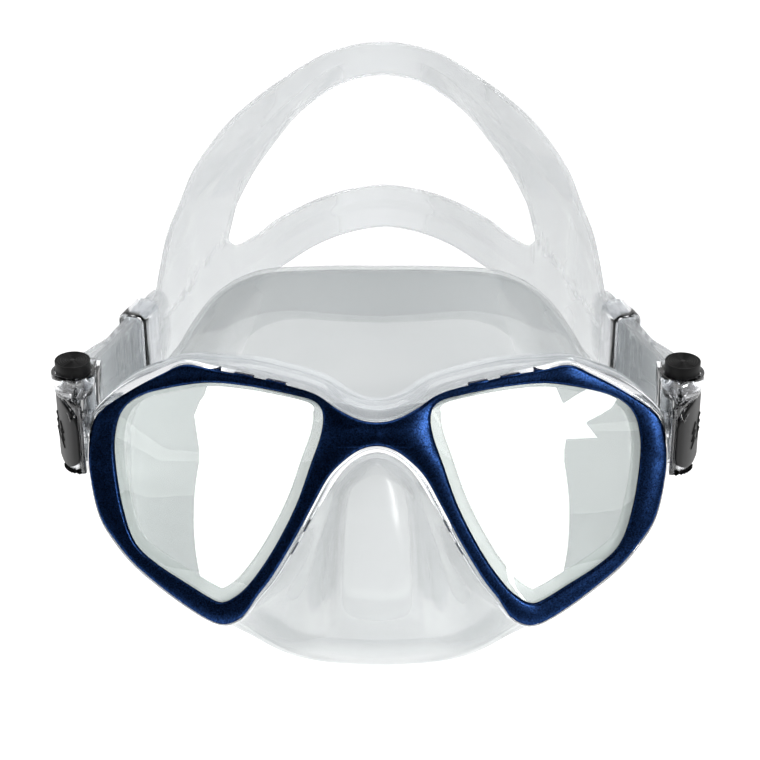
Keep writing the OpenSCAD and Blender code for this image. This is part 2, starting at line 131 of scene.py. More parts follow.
# %% Floor
FLOOR_Z = -86 * MM
bpy.ops.object.select_all(action="DESELECT")
bpy.ops.mesh.primitive_plane_add(size=30, location=(0, 0, FLOOR_Z))
floor = bpy.context.object
floor.name = "studio_floor"
matt, tree, _ = new_material("matt white studio floor")
finish_material(tree, put(tree, "ShaderNodeBsdfPrincipled", {
    "Base Color": linear("E6E6E6"), "Roughness": 0.9,
    "Emission Color": linear("FFFFFF"), "Emission Strength": 0.7}).outputs[0])
floor.data.materials.append(matt)
print("floor at", FLOOR_Z)

# %% Black card
# A black card lies in front of the mask, as in a studio, so that the bezel mirrors the
# card and not the floor. Only mirrored rays see it.
bpy.ops.mesh.primitive_plane_add(size=2, location=(0, -1.16, FLOOR_Z + 2 * MM))
card = bpy.context.object
card.name = "black_card"
card_black, tree, _ = new_material("black flocked card")
finish_material(tree, put(tree, "ShaderNodeBsdfPrincipled", {
    "Base Color": linear("050505"), "Roughness": 1.0}).outputs[0])
card.data.materials.append(card_black)
card.visible_camera = card.visible_transmission = card.visible_shadow = False
card.visible_diffuse = False
print("card in front of the mask")

# %% Surround
world = bpy.data.worlds.new("soft studio surround")
bpy.context.scene.world = world
world.use_nodes = True
tree = world.node_tree
tree.nodes.clear()
toward = put(tree, "ShaderNodeTexCoord").outputs["Generated"]
backness = put(tree, "ShaderNodeVectorMath", {1: (0, 0.8, 0.35)}, {0: toward},
               operation="DOT_PRODUCT").outputs["Value"]
level = put(tree, "ShaderNodeMapRange", {"From Min": -0.15, "From Max": 0.45,
            "To Min": 0.015, "To Max": 0.95}, {"Value": backness},
            interpolation_type="SMOOTHSTEP").outputs[0]
room = put(tree, "ShaderNodeBackground", {"Color": linear("FFFFFF")}, {"Strength": level})
paper = put(tree, "ShaderNodeBackground", {"Color": linear("FFFFFF"), "Strength": 1.1})
seen = put(tree, "ShaderNodeLightPath").outputs["Is Camera Ray"]
both = put(tree, "ShaderNodeMixShader", links={0: seen, 1: room.outputs[0], 2: paper.outputs[0]})
put(tree, "ShaderNodeOutputWorld", links={"Surface": both.outputs[0]})
print("surround ready")


# %% Lamps
def soft_lamp(name, location, aim, size, power):
    """A rectangular soft lamp that looks at a point, and that no camera sees."""
    bpy.ops.object.light_add(type="AREA", location=location)
    lamp = bpy.context.object
    lamp.name = name
    lamp.data.shape = "RECTANGLE"
    lamp.data.size, lamp.data.size_y = size
    lamp.data.energy = power
    way = np.array(aim) - np.array(location)
    lamp.rotation_euler = (math.atan2(math.hypot(way[0], way[1]), -way[2]), 0,
                           math.atan2(way[1], way[0]) - math.pi / 2)
    lamp.visible_camera = False
    return lamp


soft_lamp("box_right", (0.50, -0.92, 0.14), (0, 0, 0), (0.13, 0.9), 5.5)
soft_lamp("strip_left", (-0.95, -0.30, 0.22), (0, 0, 0), (0.10, 0.9), 0.8)
soft_lamp("top_box", (0, -0.05, 0.95), (0, 0, 0), (0.9, 0.7), 3.0)

# %% [markdown]
# ## Finishes
# The bezel is polycarbonate under a satin metallic lacquer: aluminium flakes under a blue
# film, so its colour lives in the reflection and falls to black where nothing bright is
# mirrored. The flakes are about 0.1 mm, too fine to show, so they are drawn at 0.3 mm.

# %% Satin metallic lacquer
FLAKE = 0.3 * MM
navy, tree, place = new_material("satin metallic blue lacquer")
flakes = put(tree, "ShaderNodeTexVoronoi", {"Scale": 1 / FLAKE}, {"Vector": place})
tone = put(tree, "ShaderNodeMix", {6: linear("060D20"), 7: linear("2B4A82")},
           {0: flakes.outputs["Color"]}, data_type="RGBA")
grain = put(tree, "ShaderNodeTexNoise", {"Scale": 1 / FLAKE, "Detail": 2}, {"Vector": place})
rough = put(tree, "ShaderNodeMapRange", {"To Min": 0.25, "To Max": 0.31},
            {"Value": grain.outputs[0]})
relief = put(tree, "ShaderNodeBump", {"Strength": 0.12, "Distance": 0.05 * MM},
             {"Height": flakes.outputs["Distance"]})
finish_material(tree, put(tree, "ShaderNodeBsdfPrincipled", {
    "Metallic": 1.0, "Specular Tint": linear("16264A")}, {
    "Base Color": tone.outputs[2], "Roughness": rough.outputs[0],
    "Normal": relief.outputs[0]}).outputs[0])
print("made", navy.name)

# %% [markdown]
# The frame, the buckles and the keepers are injection-moulded clear polycarbonate. It is
# smooth, so it is a glass-like shader with the plastic's own IOR of 1.58, and with the
# faint flow waves of a moulding, about 6 mm long.

# %% Clear polycarbonate
clear, tree, place = new_material("clear moulded polycarbonate")
waves = put(tree, "ShaderNodeTexNoise", {"Scale": 1 / (6 * MM), "Detail": 1}, {"Vector": place})
relief = put(tree, "ShaderNodeBump", {"Strength": 0.25, "Distance": 0.12 * MM},
             {"Height": waves.outputs[0]})
shader = put(tree, "ShaderNodeBsdfPrincipled", {
    "Base Color": linear("F7F8FA"), "Transmission Weight": 1.0, "Roughness": 0.02,
    "IOR": 1.58}, {"Normal": relief.outputs[0]})
clear_finish(tree, shader.outputs[0], linear("E9EBEE"))
print("made", clear.name)

# %% [markdown]
# The lenses are flat tempered float glass. Its iron gives a breath of green at the edge,
# and its faces are true, so it has no bump at all.

# %% Tempered glass
glass, tree, place = new_material("tempered float glass")
shader = put(tree, "ShaderNodeBsdfPrincipled", {
    "Base Color": linear("FBFEFC"), "Transmission Weight": 1.0, "Roughness": 0.0, "IOR": 1.52})
clear_finish(tree, shader.outputs[0], linear("F6FAF8"))
print("made", glass.name)

# %% [markdown]
# The skirt and the strap are liquid silicone rubber, moulded clear. Silicone always holds
# a little milkiness, and its mould is polished, so it mixes a clear body with some scatter
# and keeps a soft gloss. Slow waves of about 12 mm unsettle the gloss, as on real rubber.


# %% Clear silicone
SILICONE_PASSES = 0.38


def silicone(name, tone, share, roughness):
    """Clear silicone rubber: share is how much of it is clear, and the rest is milky."""
    made, tree, place = new_material(name)
    waves = put(tree, "ShaderNodeTexNoise", {"Scale": 1 / (12 * MM), "Detail": 2},
                {"Vector": place})
    relief = put(tree, "ShaderNodeBump", {"Strength": 0.1, "Distance": 0.1 * MM},
                 {"Height": waves.outputs[0]})
    haze = put(tree, "ShaderNodeMapRange",
               {"To Min": roughness - 0.03, "To Max": roughness + 0.04},
               {"Value": waves.outputs[0]})
    shader = put(tree, "ShaderNodeBsdfPrincipled", {
        "Base Color": linear(tone), "Transmission Weight": share, "IOR": 1.41},
        {"Roughness": haze.outputs[0], "Normal": relief.outputs[0]})
    clear_finish(tree, shader.outputs[0], linear("EDEEEE"), SILICONE_PASSES)
    return made


skirt_silicone = silicone("clear skirt silicone", "CDD0D1", 0.56, 0.16)
strap_silicone = silicone("clear strap silicone", "DDDFE1", 0.66, 0.14)
seat_silicone = silicone("milky lens seat silicone", "E6E8E8", 0.5, 0.25)
print("made", skirt_silicone.name, "and", strap_silicone.name, "and", seat_silicone.name)

# %% [markdown]
# Buttons, covers and pawls are black ABS with a fine spark-eroded grain of about 0.3 mm.
# The pins, rollers and springs are drawn stainless steel, with hairlines along the part.

# %% Black ABS
black, tree, place = new_material("black moulded ABS")
grain = put(tree, "ShaderNodeTexNoise", {"Scale": 1 / (0.3 * MM), "Detail": 3},
            {"Vector": place})
tone = put(tree, "ShaderNodeMix", {6: linear("040405"), 7: linear("0A0A0B")},
           {0: grain.outputs[0]}, data_type="RGBA")
relief = put(tree, "ShaderNodeBump", {"Strength": 0.2, "Distance": 0.04 * MM},
             {"Height": grain.outputs[0]})
rough = put(tree, "ShaderNodeMapRange", {"To Min": 0.42, "To Max": 0.55},
            {"Value": grain.outputs[0]})
finish_material(tree, put(tree, "ShaderNodeBsdfPrincipled", {
    "IOR": 1.53, "Specular IOR Level": 0.22}, {
    "Base Color": tone.outputs[2], "Roughness": rough.outputs[0],
    "Normal": relief.outputs[0]}).outputs[0])
print("made", black.name)

# %% Drawn stainless steel
steel, tree, place = new_material("drawn stainless steel")
stretch = put(tree, "ShaderNodeMapping", {"Scale": (1, 1, 0.05)}, {"Vector": place})
lines = put(tree, "ShaderNodeTexNoise", {"Scale": 1 / (0.2 * MM), "Detail": 2},
            {"Vector": stretch.outputs[0]})
rough = put(tree, "ShaderNodeMapRange", {"To Min": 0.18, "To Max": 0.34},
            {"Value": lines.outputs[0]})
tone = put(tree, "ShaderNodeMix", {6: linear("B4B4B0"), 7: linear("CFCFCB")},
           {0: lines.outputs[0]}, data_type="RGBA")
finish_material(tree, put(tree, "ShaderNodeBsdfPrincipled", {
    "Metallic": 1.0, "Specular Tint": linear("16264A")}, {
    "Base Color": tone.outputs[2], "Roughness": rough.outputs[0]}).outputs[0])
print("made", steel.name)

# %% [markdown]
# ## Curves and lofts
# Every outline of the mask is a smooth line through a few measured points, in millimetres.
# A line that ends on the middle of the mask meets its mirror image without a corner.


# %% Smooth lines
def flip(p):
    """The same point on the other side of the mask."""
    return [-p[0]] + list(p[1:])


def bend(a, b, c, d, t):
    """A point between b and c on the smooth curve through a, b, c and d."""
    return 0.5 * (2 * b + (c - a) * t + (2 * a - 5 * b + 4 * c - d) * t * t
                  + (3 * b - a - 3 * c + d) * t ** 3)


def open_curve(points, steps, before=None, after=None):
    """A line through the points; before and after say where it would go on at its ends."""
    p = [np.array(q, float) for q in points]
    p = [p[0] if before is None else np.array(before, float)] + p
    p = p + [p[-1] if after is None else np.array(after, float)]
    line = [bend(*p[i:i + 4], k / steps) for i in range(len(p) - 3) for k in range(steps)]
    return np.array(line + [p[-2]])


def half_curve(points, steps):
    """A line from the middle of the mask to the middle."""
    return open_curve(points, steps, flip(points[1]), flip(points[-2]))


def closed_curve(points, steps):
    """A smooth loop through the points."""
    p = [np.array(q, float) for q in points]
    m = len(p)
    return np.array([bend(p[i - 1], p[i], p[(i + 1) % m], p[(i + 2) % m], k / steps)
                     for i in range(m) for k in range(steps)])


def outward(line):
    """The unit normals of a clockwise outline, pointing out of it."""
    way = np.roll(line, -1, 0) - np.roll(line, 1, 0)
    way = way / np.linalg.norm(way, axis=1, keepdims=True)
    return np.stack([-way[:, 1], way[:, 0]], 1)


print("curve helpers ready")

# %% [markdown]
# A ring-shaped part, such as a bezel or a skirt, is a torus whose section changes on the
# way round. So it starts as Blender's own torus, with as many segments as the part needs,
# and each of its vertices is moved to its place. An open part starts as a grid. The last
# two helpers below turn a finished shape into a piece of the mask.


# %% Lofts from a torus and a grid
def nothing_selected():
    """Deselects everything, because an operator acts on all that is selected."""
    if bpy.context.object and bpy.context.object.mode != "OBJECT":
        bpy.ops.object.mode_set(mode="OBJECT")
    bpy.ops.object.select_all(action="DESELECT")


def only(piece):
    """Selects one piece and makes it the active one."""
    nothing_selected()
    piece.select_set(True)
    bpy.context.view_layer.objects.active = piece


def select_faces(piece, wanted):
    """Leaves the piece in edit mode with only the wanted faces selected."""
    bpy.ops.object.mode_set(mode="EDIT")
    bpy.ops.mesh.select_all(action="DESELECT")
    bpy.ops.object.mode_set(mode="OBJECT")
    for polygon in piece.data.polygons:
        polygon.select = bool(wanted(polygon))
    bpy.ops.object.mode_set(mode="EDIT")


def new_piece(name):
    """Names the primitive that was just added."""
    piece = bpy.context.object
    piece.name = piece.data.name = name
    return piece


def set_points(piece, points):
    """Moves every vertex of a piece to its place, given in millimetres."""
    flat = (np.asarray(points, float).reshape(-1, 3) * MM).ravel()
    piece.data.vertices.foreach_set("co", flat)
    piece.data.update()


def face_out(piece):
    """Points every face of the active piece outwards."""
    bpy.ops.object.mode_set(mode="EDIT")
    bpy.ops.mesh.select_all(action="SELECT")
    bpy.ops.mesh.normals_make_consistent(inside=False)
    bpy.ops.object.mode_set(mode="OBJECT")


def torus_loft(name, rings):
    """A closed ring through sections that all have the same number of points."""
    nothing_selected()
    rings = np.asarray(rings, float)
    bpy.ops.mesh.primitive_torus_add(major_segments=rings.shape[0],
                                     minor_segments=rings.shape[1])
    piece = new_piece(name)
    set_points(piece, rings)
    face_out(piece)
    return piece


def grid_loft(name, rows):
    """An open sheet through rows that all have the same number of points."""
    nothing_selected()
    rows = np.asarray(rows, float)
    bpy.ops.mesh.primitive_grid_add(x_subdivisions=rows.shape[1] - 1,
                                    y_subdivisions=rows.shape[0] - 1)
    piece = new_piece(name)
    set_points(piece, rows)
    return piece


def tube_loft(name, rings):
    """A closed section swept along a line: a torus whose last span is replaced by caps."""
    nothing_selected()
    rings = np.asarray(rings, float)
    rows, corners = rings.shape[:2]
    bpy.ops.mesh.primitive_torus_add(major_segments=rows, minor_segments=corners)
    piece = new_piece(name)
    set_points(piece, rings)
    last = (rows - 1) * corners
    select_faces(piece, lambda face: min(face.vertices) < corners and max(face.vertices) >= last)
    bpy.ops.mesh.delete(type="ONLY_FACE")
    bpy.ops.mesh.select_mode(type="EDGE")
    bpy.ops.mesh.select_all(action="DESELECT")
    bpy.ops.mesh.select_non_manifold()
    bpy.ops.mesh.fill_holes(sides=0)
    bpy.ops.object.mode_set(mode="OBJECT")
    face_out(piece)
    return piece


def apply(piece, kind, **settings):
    """Adds a modifier to a piece and applies it."""
    only(piece)
    modifier = piece.modifiers.new(kind.lower(), kind)
    for key, value in settings.items():
        setattr(modifier, key, value)
    bpy.ops.object.modifier_apply(modifier=modifier.name)


def soften(piece, width, segments=2, angle=50):
    """Rounds the edges that are sharper than an angle."""
    apply(piece, "BEVEL", width=width * MM, segments=segments, limit_method="ANGLE",
          angle_limit=math.radians(angle))


def smooth(piece, angle=35):
    """Shades a piece smooth, apart from edges sharper than the angle."""
    only(piece)
    bpy.ops.object.shade_smooth_by_angle(angle=math.radians(angle))


def join(name, *pieces):
    """Joins pieces into the first one."""
    nothing_selected()
    for piece in pieces:
        piece.select_set(True)
    bpy.context.view_layer.objects.active = pieces[0]
    if len(pieces) > 1:
        bpy.ops.object.join()
    pieces[0].name = pieces[0].data.name = name
    return pieces[0]


def mirrored(piece, name):
    """A copy of a piece on the other side of the mask, with its own mesh."""
    only(piece)
    bpy.ops.object.duplicate()
    twin = new_piece(name)
    twin.scale.x = -1
    bpy.ops.object.transform_apply(location=True, rotation=True, scale=True)
    face_out(twin)
    return twin


def fit(piece, body, slot, material, *nodes):
    """Gives a piece its finish and its CAD body, and hides the CAD nodes it stands for; slot is
    not used.
    """
    piece.data.materials.clear()
    piece.data.materials.append(material)
    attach(piece, body)
    if nodes:
        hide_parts(*nodes)
    print(piece.name, len(piece.data.polygons), "faces, rides on", body)


print("loft helpers ready")

# %% [markdown]
# ## The front plane
# Each half of the mask is swept back by six degrees, so its parts are drawn flat, as on
# the mould drawing, and then put on the swept plane. Near the middle the real moulding is
# bowed and has no ridge, so the sweep grows over the first 14 mm.

# %% Drawing plane
FRONT_Y = -62.0
SWEEP = math.radians(6)
BOWED = 14.0


def on_front(flat, depth):
    """Points of the flat drawing, at a depth behind the bezel's face, in the mask's place."""
    u, z = np.abs(flat[..., 0]), flat[..., 1]
    turn = SWEEP * np.clip(u / BOWED, 0, 1)
    bow = np.where(u < BOWED, SWEEP * (u ** 2 + BOWED ** 2) / (2 * BOWED), np.sin(SWEEP) * u)
    across = np.where(u < BOWED, u, BOWED + (u - BOWED) * np.cos(SWEEP)) - depth * np.sin(turn)
    side = np.where(flat[..., 0] < 0, -1, 1)
    return np.stack([across * side, FRONT_Y + bow + depth * np.cos(turn), z + 0 * depth], -1)


LENS_EDGE = [[15.2, 21.8], [17.5, 25.2], [24, 27.1], [36, 29.2], [47.5, 30], [59.2, 28.2],
             [67, 25.8], [71.8, 21.6], [73.8, 15], [73.8, 7], [72, -5.2], [68.6, -15.4],
             [62.5, -21.4], [53.4, -27.2], [47.8, -30.6], [44.2, -32], [40.6, -30.6],
             [36, -26.4], [29.5, -17], [23, -4.4], [18.6, 7.8], [15.8, 15.8]]
BEZEL_EDGE = [[0, 13], [4.5, 12], [9, 9], [13.7, 4], [18.5, -4.7], [24, -15], [29.7, -24.5],
              [34, -30.2], [37, -34.8], [40.2, -37.4], [44.3, -38.2], [49.7, -36], [58.6, -30],
              [68.2, -22.2], [74.3, -15], [78.3, -8.4], [80.6, 0.8], [81.4, 9], [80.3, 17.5],
              [77.2, 22.2], [68.8, 27.8], [60.5, 32.2], [53.8, 35], [46.3, 33.8], [36, 32],
              [26, 29.8], [17.4, 27.3], [11.2, 23.3], [5.4, 20.5], [0, 19.6]]
lens_line = closed_curve(LENS_EDGE, 12)
bezel_line = half_curve(BEZEL_EDGE, 8)
print("lens outline", len(lens_line), "points, bezel outline", len(bezel_line))

# %% [markdown]
# ## The bezel
# The bezel is one thin moulding with a crowned face: it is highest in the middle of each
# rim and rolls over to both edges, which is what gives its long soft highlights. It is
# made as a torus round one lens, opened on the middle of the mask, and mirrored. How deep
# each point lies comes from its distance to the nearest edge.

# %% Bezel distances
HUB = np.array([46.0, 12.0])
EDGE_ROLL = 0.75
CROWN = 1.3
CROWN_REACH = 9.0
TINY = 1e-9


def reach(line, angles):
    """How far the closed line is from HUB in each direction."""
    a, b = line - HUB, np.roll(line, -1, 0) - HUB
    way = np.stack([np.cos(angles), np.sin(angles)], 1)[:, None]
    side = b - a
    cross = way[..., 0] * side[:, 1] - way[..., 1] * side[:, 0]
    cross = np.where(np.abs(cross) < 1e-12, 1e-12, cross)
    far = (a[:, 0] * side[:, 1] - a[:, 1] * side[:, 0]) / cross
    share = (a[:, 0] * way[..., 1] - a[:, 1] * way[..., 0]) / cross
    return np.where((share > -TINY) & (share < 1 + TINY) & (far > 0), far, np.inf).min(1)


def gap_to(points, line, closed):
    """The distance from each point to a line."""
    a = line if closed else line[:-1]
    b = np.roll(line, -1, 0) if closed else line[1:]
    side = b - a
    from_a = points[..., None, :] - a
    share = np.clip((from_a * side).sum(-1) / (side ** 2).sum(-1), 0, 1)
    return np.linalg.norm(from_a - share[..., None] * side, axis=-1).min(-1)


def rolled(gap):
    """How deep the bezel's face lies at a distance from an edge."""
    near = np.clip(EDGE_ROLL - gap, 0, EDGE_ROLL)
    return (EDGE_ROLL - np.sqrt(EDGE_ROLL ** 2 - near ** 2)
            + CROWN * np.clip(1 - gap / CROWN_REACH, 0, 1) ** 2)


# The steps are close together near an edge, where the face rolls over.
NEAR_EDGE = np.array([0, 0.08, 0.24, 0.5, 0.85])
bridge_low, bridge_high = BEZEL_EDGE[0][1], BEZEL_EDGE[-1][1]
rise = np.concatenate([bridge_low + NEAR_EDGE[1:], np.linspace(14.5, 18.1, 5),
                       bridge_high - NEAR_EDGE[:0:-1]])[::-1]
outer_loop = np.concatenate([bezel_line, np.stack([0 * rise, rise], 1)])
angles = np.arctan2(*(outer_loop - HUB).T[::-1])
toward = np.stack([np.cos(angles), np.sin(angles)], 1)
inner_loop = HUB + reach(lens_line, angles)[:, None] * toward
print("bezel stations", len(outer_loop))

# %% [markdown]
# The outline has an upper and a lower part, and near the middle of the mask both are
# close. Taking only the nearest would leave a crease along the middle, so the two
# distances are blended into one.

# %% Bezel face
BEZEL_T = 2.6
FACE_STEPS = 24
EDGE_BLEND = 3.0
width = np.linalg.norm(inner_loop - outer_loop, axis=1)[:, None]
flat_part = width - 2 * NEAR_EDGE[-1]
steps = np.concatenate([NEAR_EDGE + 0 * width,
                        NEAR_EDGE[-1] + flat_part * np.arange(1, FACE_STEPS) / FACE_STEPS,
                        width - NEAR_EDGE[::-1]], 1) / width
face = outer_loop[:, None] + steps[..., None] * (inner_loop - outer_loop)[:, None]
temple = int(np.argmax(bezel_line[:, 0]))
outer_gap = 0
for part in (bezel_line[:temple + 1], bezel_line[temple:][::-1]):
    whole = np.concatenate([(part[1:] * [-1, 1])[::-1], part])
    outer_gap = outer_gap + np.maximum(gap_to(face, whole, False), 1e-4) ** -EDGE_BLEND
outer_gap = outer_gap ** (-1 / EDGE_BLEND)
depth = rolled(outer_gap) + rolled(gap_to(face, lens_line, True))
front = on_front(face, np.minimum(depth, BEZEL_T - 0.4))
outer_back, inner_back = [on_front(loop[:, None], np.full((len(loop), 1), BEZEL_T))
                          for loop in (outer_loop, inner_loop)]
bezel = torus_loft("bezel_shell", np.concatenate([outer_back, front, inner_back], 1))
print("bezel ring", len(bezel.data.polygons), "faces")

# %% [markdown]
# The ring's faces on the middle of the mask are deleted and the half is mirrored. The face
# of the bridge is then smoothed, only in depth, so that the halves run into each other.

# %% Bezel halves joined
BRIDGE_HALF = 17
BRIDGE_DEEP = 1.3


def on_middle(face):
    return all(abs(bezel.data.vertices[v].co.x) < 1e-7 for v in face.vertices)


def on_bridge(face):
    x, y, _ = face.center
    return abs(x) < BRIDGE_HALF * MM and (y - abs(x) * math.tan(SWEEP)
                                          < (FRONT_Y + BRIDGE_DEEP) * MM)


select_faces(bezel, on_middle)
bpy.ops.mesh.delete(type="FACE")
bpy.ops.object.mode_set(mode="OBJECT")
apply(bezel, "MIRROR", merge_threshold=1e-6)
select_faces(bezel, on_bridge)
bpy.ops.mesh.vertices_smooth(factor=0.5, repeat=30, xaxis=False, yaxis=True, zaxis=False)
bpy.ops.object.mode_set(mode="OBJECT")
print("whole bezel", len(bezel.data.polygons), "faces")

# %% [markdown]
# Small blue tongues snap the bezel into the clear frame: three above each lens and two
# beside the nose. They show through the frame. Each row says where a tongue is, how it
# is turned and how long it is.

# %% Snap tabs
TAB_T = 0.8
TAB_MIDDLE, TAB_DEEP = 4.3, 4.4
TABS = [(28.5, 30.2, 12, 5.6), (37.5, 32.0, 10, 5.6), (47.5, 33.2, -4, 7.0),
        (21.6, -9.4, -61, 4.0), (25.2, -15.8, -60, 4.0)]
tabs = []
for x, z, turn, length in TABS:
    nothing_selected()
    bpy.ops.mesh.primitive_cube_add(size=1)
    tab = bpy.context.object
    c, s = math.cos(math.radians(turn)), math.sin(math.radians(turn))
    spots = [[x + c * v.co.x * length - s * v.co.z * TAB_T,
              z + s * v.co.x * length + c * v.co.z * TAB_T] for v in tab.data.vertices]
    depths = [TAB_MIDDLE + TAB_DEEP * v.co.y for v in tab.data.vertices]
    set_points(tab, on_front(np.array(spots), np.array(depths)))
    face_out(tab)
    apply(tab, "BEVEL", width=0.2 * MM, segments=2)
    tabs.append(tab)
right_tabs = join("tabs_right", *tabs)
bezel = join("bezel_shell", bezel, right_tabs, mirrored(right_tabs, "tabs_left"))
smooth(bezel, 50)
fit(bezel, "mask", "bezel_blue", navy, "bezel")

# %% [markdown]
# ## The lenses
# A lens is cut from flat glass and its edge is ground with a small chamfer. It starts as a
# circle with as many corners as the outline, is filled, extruded and bevelled.


# %% Lenses
LENS_T = 3.4
LENS_OVERLAP = 1.3


def lens_piece(name, side):
    """A pane on one side of the mask: side is 1 on the right and -1 on the left."""
    line = closed_curve(LENS_EDGE, 5)
    line = line + LENS_OVERLAP * outward(line)
    nothing_selected()
    bpy.ops.mesh.primitive_circle_add(vertices=len(line), fill_type="NGON")
    piece = new_piece(name)
    depth = np.full(len(line), BEZEL_T + 0.1)
    set_points(piece, on_front(line, depth) * [side, 1, 1])
    bpy.ops.object.mode_set(mode="EDIT")
    bpy.ops.mesh.select_all(action="SELECT")
    thick = LENS_T * MM
    bpy.ops.mesh.extrude_region_move(TRANSFORM_OT_translate={
        "value": (-side * thick * math.sin(SWEEP), thick * math.cos(SWEEP), 0)})
    bpy.ops.object.mode_set(mode="OBJECT")
    face_out(piece)
    apply(piece, "BEVEL", width=0.35 * MM, segments=2, limit_method="ANGLE", angle_limit=1.0)
    smooth(piece, 30)
    return piece


fit(lens_piece("lens_pane_right", 1), "mask", "lens_glass", glass, "lens_right")
fit(lens_piece("lens_pane_left", -1), "mask", "lens_glass", glass, "lens_left")

# %% [markdown]
# ## The clear frame
# The clear frame carries the lenses and shows as a thick brow above the bezel. Its section
# is a bowed wall whose height and depth change on the way round, from a thin rim below
# the lenses to the tall brow, so it is a torus round the whole mask. The table gives, at
# each point of the bezel's outline, how far the frame stands out past it, and how deep.

# %% Clear frame
FRAME_START = BEZEL_T + 0.15
DEEPEST = 17
STAND_OUT = [1.1, 1.1, 1.1, 1.2, 1.3, 1.3, 1.1, 0.8, 0.6, 0.5, 0.4, 0.5, 0.7, 0.9, 0.9, 0.6, 0.2,
             0.1, 0.9, 2.4, 3.9, 3.2, 2.2, 3.3, 4.4, 4.5, 4.4, 4.9, 5.4, 5.6]
RIM = [9, 9, 9, 9, 9, 9, 9, 9, 9, 9, 9, 9, 9, 9, 9.5, 12, 15, 17, 17, 17, 17, 17, 17, 17, 17, 17,
       17, 16, 15, 14.5]
rates = open_curve(list(zip(STAND_OUT, RIM)), 4)
half_line = half_curve(BEZEL_EDGE, 4)
line = np.concatenate([half_line, (half_line[1:-1] * [-1, 1])[::-1]])
stand, rim = np.concatenate([rates, rates[1:-1][::-1]]).T[:, :, None]
normal = -outward(line)
# Each row: its share of the stand-out, its offset in millimetres, its share of the depth.
SECTION = [(0, -2.4, 0.0), (0, 0.1, 0.0), (0.1, 0.35, 0.0), (0.3, 0.45, 0.02), (0.52, 0.5, 0.08),
           (0.72, 0.45, 0.2), (0.78, 0.4, 0.27), (0.92, 0.3, 0.42), (1, 0.1, 0.62), (1, 0, 0.85),
           (1, -0.15, 0.96), (1, -0.55, 1.0), (1, -1.3, 0.99), (1, -1.7, 0.93), (0.95, -1.8, 0.7),
           (0.6, -2.0, 0.48), (0.3, -2.3, 0.38), (0, -2.9, 0.36), (0, -3.1, 0.25), (0, -2.9, 0.05)]
share, extra, deep = np.array(SECTION).T
out = share * stand + extra
flat = line[:, None] + out[..., None] * normal[:, None]
depth_at = np.where(share > 0, rim, np.minimum(rim, DEEPEST))
depth = FRAME_START + deep * (depth_at - BEZEL_T - 0.15)
frame_piece = torus_loft("clear_frame", on_front(flat, depth))
smooth(frame_piece, 60)
fit(frame_piece, "mask", "clear_plastic", clear, "inner_frame")

# %% [markdown]
# ## The skirt
# The skirt is the soft seal: a thin wall that leaves the frame, bulges forward over the
# nose, and ends in a flange that turns in and lies on the face. It is drawn as columns
# from the lens side back to the face, and skinned with smooth curves both ways. Above the
# brow the wall first runs level, and then it climbs to the forehead.

# %% Skirt outline
NOSE = [[[0, 10.5, 8.4], [0, 8.5, 4], [0, 2, 0.6], [0, -12, -0.6], [0, -30, 0.6], [0, -42, 7],
         [0, -50, 20], [0, -56, 35]],
        [[7, 7.6, 8.4], [7.5, 4.5, 4.4], [8.5, 0, 1.8], [9.5, -13, 0.6], [10.4, -30, 1.8],
         [10.8, -42, 8.5], [10.8, -50, 21], [10.4, -56, 36]],
        [[12.6, 0.8, 8.6], [12.8, -2.5, 7.2], [13.2, -7, 6.6], [14, -16, 6.8], [15.2, -31, 9],
         [16.2, -43, 15], [18, -50, 25], [19.4, -55.5, 38]],
        [[20.6, -13.5, 8.8], [19.6, -15.5, 11], [18.9, -18.5, 14], [19.2, -24, 17],
         [20.8, -34, 20.5], [23, -43, 25], [26, -50, 32], [28, -55, 41]],
        [[31, -28.6, 8.6], [30, -29.6, 13], [29.4, -31.5, 18], [30, -35, 22.5], [31.2, -40, 27],
         [33, -45, 32], [35.5, -49, 38], [37, -52, 44]],
        [[43.4, -36.4, 8.6], [43, -37.2, 13], [43, -38.5, 18], [43.6, -40.2, 23],
         [44.8, -42.2, 29], [46, -44, 35], [47, -45.8, 41], [47.6, -47, 47]]]
SIDES = [[59, -29], [72, -15], [75.4, 4], [71.2, 22.8], [54, 33], [36, 30.6], [17, 25.8],
         [0, 21.2]]
FACE = [[0, -12, -61], [10, -12, -60.6], [20, -11, -59.8], [29, -9, -57.6], [38, -6, -53.4],
        [47, -2, -47.6], [57.6, 3, -36], [64.4, 7, -17], [66, 8, 5], [63, 6, 28],
        [51, -3, 48.4], [37, -9, 57.6], [18, -11, 59.4], [0, -11, 59.5]]
WALL_ROWS = 8
LEVEL_SHARE = 0.25
BROW_Z = 20
columns = [[[x, FRONT_Y + d + x * math.tan(SWEEP), z] for x, z, d in c] for c in NOSE]
for (x, z), end in zip(SIDES, FACE[len(NOSE):]):
    start = np.array([x, FRONT_Y + 8.6 + x * math.tan(SWEEP), z])
    column = []
    for k in range(WALL_ROWS):
        t = k / WALL_ROWS
        rise = max(0, t - LEVEL_SHARE) / (1 - LEVEL_SHARE) if z > BROW_Z else t
        shares = np.array([t ** 1.5, t, rise])
        column.append(start + (np.array(end) - start) * shares)
    columns.append(column)
print(len(columns), "columns of", WALL_ROWS, "points")

# %% Skirt wall and flange
FLANGE = np.array([8, 8, 8, 8, 8.5, 9.5, 11, 12.5, 13.5, 14.5, 16, 17, 17, 17])
SKIRT_T = 1.8
LIP_T, LIP_ROWS = 0.6, 8


def inward(p):
    """The way from the flange's root to just below the middle of the face."""
    way = np.array([-p[0], 0, -p[2] - 1.0])
    return way / np.linalg.norm(way)


